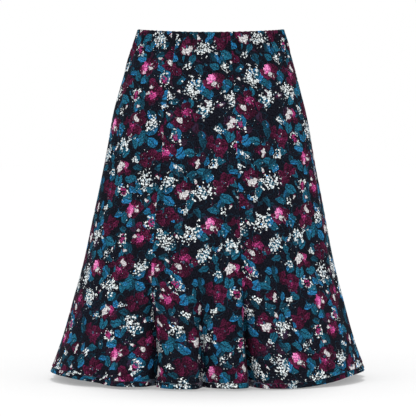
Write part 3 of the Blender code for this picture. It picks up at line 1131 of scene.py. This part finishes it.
def grain_group():
    """Pebbled grain of crepe. Place is in millimetres."""
    sockets = {name: "NodeSocketFloat" for name in ("Height", "Roughness", "Tone")}
    tree, net, place, end = new_group("crepe_grain", sockets)
    pebbles = net.noise(place * (1.0, 0.55, 0.0), 0.55, 1.0)[0]
    slubs = net.noise(place * (1.0, 0.12, 0.0), 1.1)[0]
    speckle = net.noise(place * (1.0, 0.8, 0.0), 2.1, 1.0)[0]
    grain = {
        "Height": slubs * 0.35 + pebbles,
        "Roughness": pebbles * 0.16 + 0.76,
        "Tone": speckle * 2.6 - 0.37,
    }
    net.feed(end, grain)
    return tree


def bumped(net, height, strength, distance):
    """The normal of a surface that has these heights."""
    values = {"Strength": strength, "Distance": distance, "Height": height}
    return net.node("ShaderNodeBump", values).outputs["Normal"]


def cloudy(net, scale, detail=2.0):
    """Noise over the object itself."""
    place = net.node("ShaderNodeTexCoord", {}).outputs["Object"]
    values = {"Vector": place, "Scale": scale, "Detail": detail}
    return net.node("ShaderNodeTexNoise", values).outputs["Fac"]


def scaled(colour, scale):
    """A colour made lighter or darker, without its alpha."""
    return tuple(min(value * scale, 1.0) for value in colour[:3]) + (1.0,)


def crepe(name, printed, grain, paleness, pale):
    """Crepe of one side of the cloth. Paleness is how far the print has faded into the pale colour."""
    material, net, shader = new_material(name)
    place = Vector(net, net.node("ShaderNodeUVMap", {}, uv_map=PRINT_MAP).outputs[0]) * (1 / MM)
    shown = net.node("ShaderNodeGroup", {"Place": place}, node_tree=printed).outputs["Colour"]
    texture = net.node("ShaderNodeGroup", {"Place": place}, node_tree=grain).outputs
    faded = net.colour(paleness, shown, pale)
    look = {
        "Base Color": net.vector("SCALE", faded, scale=texture["Tone"]),
        "Roughness": texture["Roughness"],
        "Normal": bumped(net, texture["Height"], strength=0.35, distance=0.00025),
        "Specular IOR Level": 0.02,
    }
    net.feed(shader, look)
    return material


def thread_material(colour):
    """Spun polyester thread, slightly glossy, with a twist along it."""
    material, net, shader = new_material("thread")
    twist = cloudy(net, 2600.0, 1.0)
    look = {
        "Base Color": net.colour(twist, colour, scaled(colour, 2.2)),
        "Roughness": 0.55,
        "Normal": bumped(net, twist, strength=0.5, distance=0.0001),
        "Specular IOR Level": 0.25,
    }
    net.feed(shader, look)
    return material


def table_material(colour, glow):
    """A white table top, lit a little from within."""
    material, net, shader = new_material("white_table")
    look = {
        "Base Color": net.colour(cloudy(net, 3.0), colour, scaled(colour, 0.995)),
        "Roughness": 0.9,
        "Specular IOR Level": 0.0,
        "Emission Color": (1, 1, 1, 1),
        "Emission Strength": glow,
    }
    net.feed(shader, look)
    return material


# ---------------------------------------------------------------- stitching

# Places across a gore at which a row of stitches follows the cloth, and two small steps, along the
# row and into the cloth, that give its direction there.
SEWING_PLACES = 400
STEP_ALONG = 0.0006
STEP_IN = 0.001

# A stitch sinks at its ends and stands a little out of the cloth, in shares of the thread's width.
STITCH_SINKS = 0.9
STITCH_STANDS_OUT = 0.1
STITCH_SIDES = 6
STITCH_RINGS = 4


def at_places(places, run, line):
    """Points of a line at places along its run."""
    return np.stack([np.interp(places, run, line[:, axis]) for axis in range(3)], axis=1)


def unit(vectors):
    return vectors / np.linalg.norm(vectors, axis=1, keepdims=True)


def stitch_line(share, step, pitch):
    """Middle, direction and outward normal of each stitch of a row sewn all round the skirt."""
    across = np.linspace(0, 1, SEWING_PLACES)
    middles, alongs, outs = [], [], []
    for number in range(len(GORES)):
        line = skin(number, across, share, step, 0)
        inner = skin(number, across, share, step, STEP_IN)
        run = walk(line[:, None], 0)[:, 0]
        count = int(run[-1] / pitch)
        places = (np.arange(count) + 0.5) * run[-1] / count
        middle = at_places(places, run, line)
        middles.append(middle)
        alongs.append(unit(at_places(places + STEP_ALONG, run, line) - middle))
        outs.append(unit(at_places(places, run, line - inner)))
    return np.concatenate(middles), np.concatenate(alongs), np.concatenate(outs)


def sew(name, share, step, material):
    """A row of stitches: one modelled stitch, copied to every place and joined in one mesh."""
    sewing = bpy.context.scene.skirt_sewing
    deselect()
    bpy.ops.mesh.primitive_uv_sphere_add(segments=STITCH_SIDES, ring_count=STITCH_RINGS, radius=0.5)
    stitch = bpy.context.object
    shape = np.array([vertex.co for vertex in stitch.data.vertices])
    faces = [tuple(face.vertices) for face in stitch.data.polygons]
    bpy.data.objects.remove(stitch, do_unlink=True)
    shape = shape[:, [2, 0, 1]] * (sewing.stitch_length, sewing.thread_width, sewing.thread_width)
    sunk = STITCH_SINKS * (2 * shape[:, 0] / sewing.stitch_length) ** 2 - STITCH_STANDS_OUT
    shape[:, 2] -= sewing.thread_width * sunk
    middle, along, out = stitch_line(share, step, sewing.stitch_pitch)
    beside = np.cross(out, along)
    turns = np.stack([along, beside, out], axis=1)
    points = middle[:, None] + shape @ turns
    count = len(shape)
    every_face = [tuple(v + count * n for v in face) for n in range(len(middle)) for face in faces]
    mesh = bpy.data.meshes.new(name)
    mesh.from_pydata(points.reshape(-1, 3).tolist(), [], every_face)
    mesh.shade_smooth()
    mesh.materials.append(material)
    row = bpy.data.objects.new(name, mesh)
    bpy.context.scene.collection.objects.link(row)
    return row


# ---------------------------------------------------------------- sizes and colours to change


def linear(red, green, blue):
    """Linear colour of the usual 0 to 255 values."""
    values = [value / 255 for value in (red, green, blue)]
    return tuple(v / 12.92 if v <= 0.04045 else ((v + 0.055) / 1.055) ** 2.4 for v in values) + (1.0,)


def colour_property(name, description, default):
    """A colour to change. The default is linear, with its alpha."""
    return bpy.props.FloatVectorProperty(
        name=name, description=description, default=default, subtype="COLOR", size=4, min=0, max=1
    )


def length_property(name, description, default):
    return bpy.props.FloatProperty(
        name=name, description=description, default=default, unit="LENGTH", precision=5
    )


def amount_property(name, description, default, **more):
    return bpy.props.FloatProperty(name=name, description=description, default=default, min=0, **more)


def angle_property(name, description, degrees):
    return bpy.props.FloatProperty(
        name=name, description=description, default=math.radians(degrees), subtype="ANGLE", unit="ROTATION"
    )


class SKIRT_PG_cloth(bpy.types.PropertyGroup):
    thickness: length_property("Thickness", "Thickness of the crepe", 0.0006)
    paleness: amount_property(
        "Reverse paleness", "How far the print has faded on the reverse", 0.45, max=1, subtype="FACTOR"
    )
    reverse: colour_property("Reverse", "Pale colour of the reverse", linear(112, 116, 130))


class SKIRT_PG_print(bpy.types.PropertyGroup):
    ground: colour_property("Ground", "Near black of the ground", linear(19, 19, 26))
    night: colour_property("Night", "Bluer patches of the ground", linear(23, 27, 37))
    deep_wine: colour_property("Deep wine", "Shaded petals", linear(49, 18, 34))
    wine: colour_property("Wine", "Most petals", linear(74, 24, 48))
    plum: colour_property("Plum", "Lighter petals", linear(98, 31, 64))
    magenta: colour_property("Magenta", "Bright petals", linear(156, 50, 106))
    pink: colour_property("Pink", "Pink hearts", linear(204, 84, 150))
    pale_pink: colour_property("Pale pink", "Lightest part of the hearts", linear(232, 138, 192))
    petal: colour_property("Petal white", "Large pale petals", linear(203, 200, 201))
    vein: colour_property("Vein grey", "Veins of the pale petals", linear(150, 148, 156))
    heart: colour_property("Heart", "Dots in the middle of the flowers", linear(58, 84, 104))
    deep_teal: colour_property("Deep teal", "Shaded leaves and twigs", linear(22, 58, 74))
    teal: colour_property("Teal", "Most leaves", linear(27, 84, 106))
    mid_teal: colour_property("Mid teal", "Lighter leaves", linear(34, 102, 128))
    blue: colour_property("Blue", "Blue leaves", linear(38, 116, 166))
    sky: colour_property("Sky", "Brightest leaf edges", linear(54, 142, 206))
    spray: colour_property("Spray white", "Small white flowers", linear(224, 230, 230))
    spray_grey: colour_property("Spray grey", "Shaded small flowers", linear(176, 192, 200))


class SKIRT_PG_sewing(bpy.types.PropertyGroup):
    stitch_length: length_property("Stitch length", "Length of one stitch", 0.0026)
    stitch_pitch: length_property("Stitch pitch", "From one stitch to the next", 0.0032)
    thread_width: length_property("Thread width", "Width of the thread", 0.00045)
    thread: colour_property("Thread", "Colour of the thread", linear(22, 24, 34))


class SKIRT_PG_studio(bpy.types.PropertyGroup):
    floor_gap: length_property("Floor gap", "Height of the hem over the floor", 0.0010)
    floor: colour_property("Floor", "Colour of the floor", (0.50, 0.50, 0.50, 1.0))
    floor_glow: amount_property("Floor glow", "Light through the white table top", 0.28)
    sky_strength: amount_property("Sky strength", "Brightness of the white all round", 1.0)
    key_power: amount_property("Key power", "Large soft light at the left", 13, unit="POWER")
    fill_power: amount_property("Fill power", "Soft light from the right", 10, unit="POWER")
    overhead_strength: amount_property("Overhead strength", "Even light from above", 1.5)
    overhead_tilt: angle_property("Overhead tilt", "How far behind the skirt it stands", 20)
    overhead_spread: angle_property("Overhead spread", "Width of the overhead light", 18)
    camera_distance: length_property("Camera distance", "From the skirt's axis", 4.0)
    camera_height: length_property("Camera height", "Above the waist", -0.1983)
    camera_aside: length_property("Camera aside", "To the wearer's left of the axis", -0.005)
    camera_pitch: angle_property("Camera pitch", "How far it looks down", 1.753)
    lens: amount_property("Lens", "Focal length in mm", 192.3)


# ---------------------------------------------------------------- studio

# The floor reaches past the camera on all sides. The two soft lights are square.
FLOOR_SIZE = 60
SOFT_LIGHT_SIZE = 1.6
KEY_PLACE = (-2.3, -1.8, 0.5)
FILL_PLACE = (2.3, -1.7, 0.4)


def lay_floor(studio):
    deselect()
    bpy.ops.mesh.primitive_grid_add(x_subdivisions=4, y_subdivisions=4, size=FLOOR_SIZE)
    floor = bpy.context.object
    floor.name = "floor"
    floor.location.z = CAD_BOX[0].z - studio.floor_gap
    floor.data.materials.append(table_material(studio.floor, studio.floor_glow))


def white_room(strength):
    world = bpy.data.worlds.new("white_room")
    world.use_nodes = True
    background = world.node_tree.nodes["Background"].inputs
    background["Color"].default_value = (1, 1, 1, 1)
    background["Strength"].default_value = strength
    bpy.context.scene.world = world


def place_object(name, data, place=(0, 0, 0), turn=(0, 0, 0)):
    thing = bpy.data.objects.new(name, data)
    thing.location = place
    thing.rotation_euler = turn
    bpy.context.scene.collection.objects.link(thing)
    return thing


def hang_lights(studio):
    """A soft light at each side, aimed at the skirt's middle, and one far above."""
    middle = (CAD_BOX[0] + CAD_BOX[1]) / 2
    lights = (("key", KEY_PLACE, studio.key_power), ("fill", FILL_PLACE, studio.fill_power))
    for name, place, power in lights:
        lamp = bpy.data.lights.new(name, "AREA")
        lamp.size = SOFT_LIGHT_SIZE
        lamp.energy = power
        light = place_object(name, lamp, place)
        light.rotation_euler = (middle - light.location).to_track_quat("-Z", "Y").to_euler()
    overhead = bpy.data.lights.new("overhead", "SUN")
    overhead.energy = studio.overhead_strength
    overhead.angle = studio.overhead_spread
    place_object("overhead", overhead, turn=(-studio.overhead_tilt, 0, 0))


def set_camera(studio):
    lens = bpy.data.cameras.new("camera")
    lens.lens = studio.lens
    place = (studio.camera_aside, -studio.camera_distance, studio.camera_height)
    turn = (math.pi / 2 - studio.camera_pitch, 0, 0)
    bpy.context.scene.camera = place_object("camera", lens, place, turn)


# ---------------------------------------------------------------- operators


class SKIRT_OT_gores(bpy.types.Operator):
    """Cut, fold and print the seven gores"""

    bl_idname = "skirt.gores"
    bl_label = "Gores"

    def execute(self, context):
        cloth = context.scene.skirt_cloth
        printed, grain = print_group(context.scene.skirt_print), grain_group()
        face = crepe("crepe_face", printed, grain, 0.0, cloth.reverse)
        reverse = crepe("crepe_reverse", printed, grain, cloth.paleness, cloth.reverse)
        for number, gore in enumerate(GORES):
            piece = cut_and_fold(number, face, reverse)
            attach(piece, BODY)
            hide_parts(gore.name)
        return {"FINISHED"}


class SKIRT_OT_stitching(bpy.types.Operator):
    """Sew the hem and the casing with tonal thread"""

    bl_idname = "skirt.stitching"
    bl_label = "Stitching"

    def execute(self, context):
        thread = thread_material(context.scene.skirt_sewing.thread)
        rows = (("hem_stitches", 1, -HEM_DEPTH), ("casing_stitches", 0, CASING_DEPTH))
        for name, share, step in rows:
            piece = sew(name, share, step, thread)
            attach(piece, BODY)
        return {"FINISHED"}


class SKIRT_OT_studio(bpy.types.Operator):
    """Lay the floor, hang the lights and set the camera"""

    bl_idname = "skirt.studio"
    bl_label = "Studio"

    def execute(self, context):
        studio = context.scene.skirt_studio
        context.scene.view_settings.view_transform = "Standard"
        lay_floor(studio)
        white_room(studio.sky_strength)
        hang_lights(studio)
        set_camera(studio)
        return {"FINISHED"}


class SKIRT_PT_panel(bpy.types.Panel):
    """Sizes, colours and steps of the skirt"""

    bl_idname = "SKIRT_PT_panel"
    bl_label = "A-line skirt"
    bl_space_type = "VIEW_3D"
    bl_region_type = "UI"
    bl_category = "Skirt"

    def draw(self, context):
        for kind, name in GROUPS:
            group = getattr(context.scene, name)
            box = self.layout.box()
            for value in kind.__annotations__:
                box.prop(group, value)
        for step in STEPS:
            self.layout.operator(step.bl_idname)


GROUPS = (
    (SKIRT_PG_cloth, "skirt_cloth"),
    (SKIRT_PG_print, "skirt_print"),
    (SKIRT_PG_sewing, "skirt_sewing"),
    (SKIRT_PG_studio, "skirt_studio"),
)
STEPS = (SKIRT_OT_gores, SKIRT_OT_stitching, SKIRT_OT_studio)
CLASSES = tuple(kind for kind, _ in GROUPS) + STEPS + (SKIRT_PT_panel,)


def register():
    for kind in CLASSES:
        bpy.utils.register_class(kind)
    for kind, name in GROUPS:
        setattr(bpy.types.Scene, name, bpy.props.PointerProperty(type=kind))


def unregister():
    for _, name in GROUPS:
        delattr(bpy.types.Scene, name)
    for kind in reversed(CLASSES):
        bpy.utils.unregister_class(kind)


def main():
    register()
    bpy.ops.skirt.gores()
    bpy.ops.skirt.stitching()
    bpy.ops.skirt.studio()


if __name__ == "__main__":
    main()
